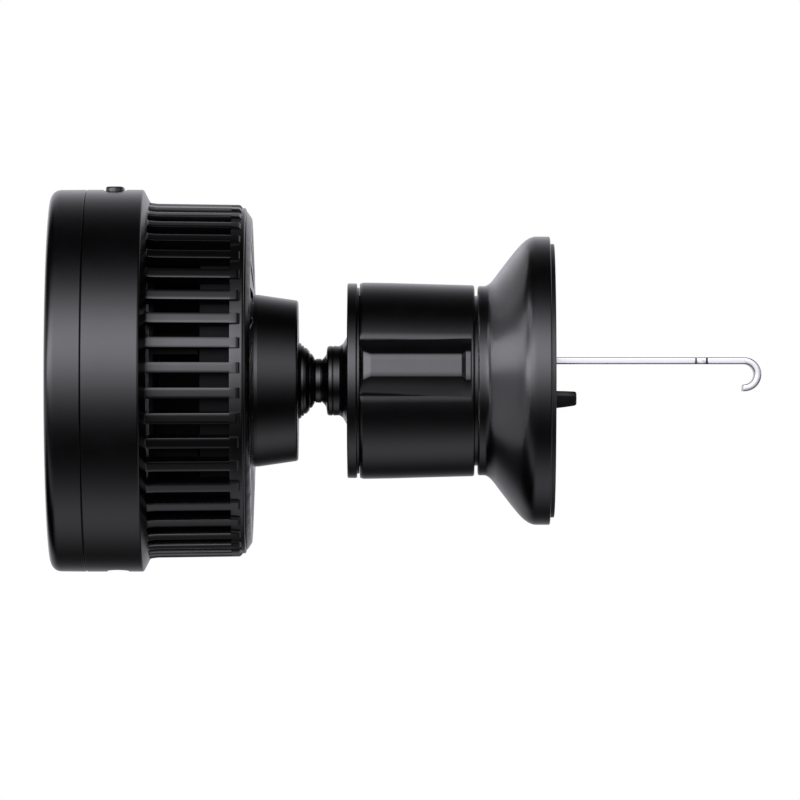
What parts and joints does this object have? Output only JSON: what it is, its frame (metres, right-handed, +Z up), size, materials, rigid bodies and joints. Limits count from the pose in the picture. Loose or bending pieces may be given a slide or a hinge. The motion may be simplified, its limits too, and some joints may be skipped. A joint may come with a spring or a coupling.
{
  "type": "air vent hook mount with magnetic charging head",
  "caption": "Round fan-cooled magnetic phone charging head on a ball joint, with a twist knob that draws a steel hook against a padded flared base.",
  "frame": {"origin": "centre of the base's rear rubber pad, on its contact face", "axes": "+X from the charging face towards the hook, +Z up (mode button side), +Y across the hook strip"},
  "size_m": [0.1151, 0.062, 0.0624],
  "materials": {
    "black_plastic": "satin moulded, very fine grain",
    "inner_plastic": "moulded",
    "black_rubber": "matte",
    "face_silicone": "matte, soft touch",
    "button_plastic": "semi-gloss",
    "polished_steel": "polished",
    "screw_steel": "bright",
    "brass": "turned",
    "liner_plastic": "smooth",
    "magnet": "nickel plated",
    "copper": "enamelled copper",
    "ferrite": "matte",
    "aluminium": "extruded",
    "board_green": "solder mask",
    "component_black": "epoxy"
  },
  "bodies": {
    "mount_base": {"ball_stem": "black_plastic", "stem_screw": "screw_steel", "guide_tube": "inner_plastic", "base_cup": "black_plastic", "base_plate": "inner_plastic", "base_screws": "screw_steel", "base_pad": "black_rubber", "hook_guide": "inner_plastic", "support_tab": "black_rubber"},
    "knob": {"knob_sleeve": "black_plastic", "nut_insert": "brass", "knob_washer": "screw_steel"},
    "hook": {"steel_hook": "polished_steel", "carriage": "inner_plastic", "hook_screws": "screw_steel"},
    "ball_liner": {"rear_liner_cup": "liner_plastic"},
    "ball_ring": {"friction_ring": "screw_steel"},
    "head": {"face_pad": "face_silicone", "front_cover": "black_plastic", "magnet_array": "magnet", "magnet_back_ring": "screw_steel", "charging_coil": "copper", "ferrite_disc": "ferrite", "heat_spreader": "aluminium", "heat_sink": "aluminium", "circuit_board": "board_green", "board_components": "component_black", "board_screws": "screw_steel", "usb_socket": "screw_steel", "usb_tongue": "inner_plastic", "button_switch": "inner_plastic", "head_housing": "black_plastic", "rear_grille": "black_plastic", "socket_boss": "black_plastic", "ring_nut": "inner_plastic", "fan_stator": "inner_plastic", "fan_coils": "copper", "fan_bearing": "brass"},
    "button": {"mode_button": "button_plastic"},
    "fan_rotor": {"fan_impeller": "inner_plastic", "fan_shaft": "screw_steel", "rotor_magnet": "magnet"}
  },
  "joints": [
    {"name": "knob_turn", "type": "hinge", "parent": "mount_base", "child": "knob", "pos_m": [-0.022, 0, 0], "axis": [1, 0, 0], "range_deg": [0, 1080]},
    {"name": "hook_slide", "type": "slide", "parent": "mount_base", "child": "hook", "axis": [-1, 0, 0], "range_m": [0, 0.009]},
    {"name": "head_pan", "type": "hinge", "parent": "mount_base", "child": "ball_liner", "pos_m": [-0.045, 0, 0], "axis": [0, 0, 1], "range_deg": [-22, 22]},
    {"name": "head_tilt", "type": "hinge", "parent": "ball_liner", "child": "ball_ring", "pos_m": [-0.045, 0, 0], "axis": [0, 1, 0], "range_deg": [-22, 22]},
    {"name": "head_roll", "type": "hinge", "parent": "ball_ring", "child": "head", "pos_m": [-0.045, 0, 0], "axis": [1, 0, 0], "continuous": true},
    {"name": "button_press", "type": "slide", "parent": "head", "child": "button", "axis": [0, 0, -1], "range_m": [0, 0.0004], "stiffness_N_per_m": 1500, "springref_m": -0.0006},
    {"name": "fan_spin", "type": "hinge", "parent": "head", "child": "fan_rotor", "pos_m": [-0.06, 0, 0], "axis": [1, 0, 0], "continuous": true}
  ],
  "couplings": [
    {"joint": "hook_slide", "follows": "knob_turn", "m_per_rad": 0.00047746}
  ]
}
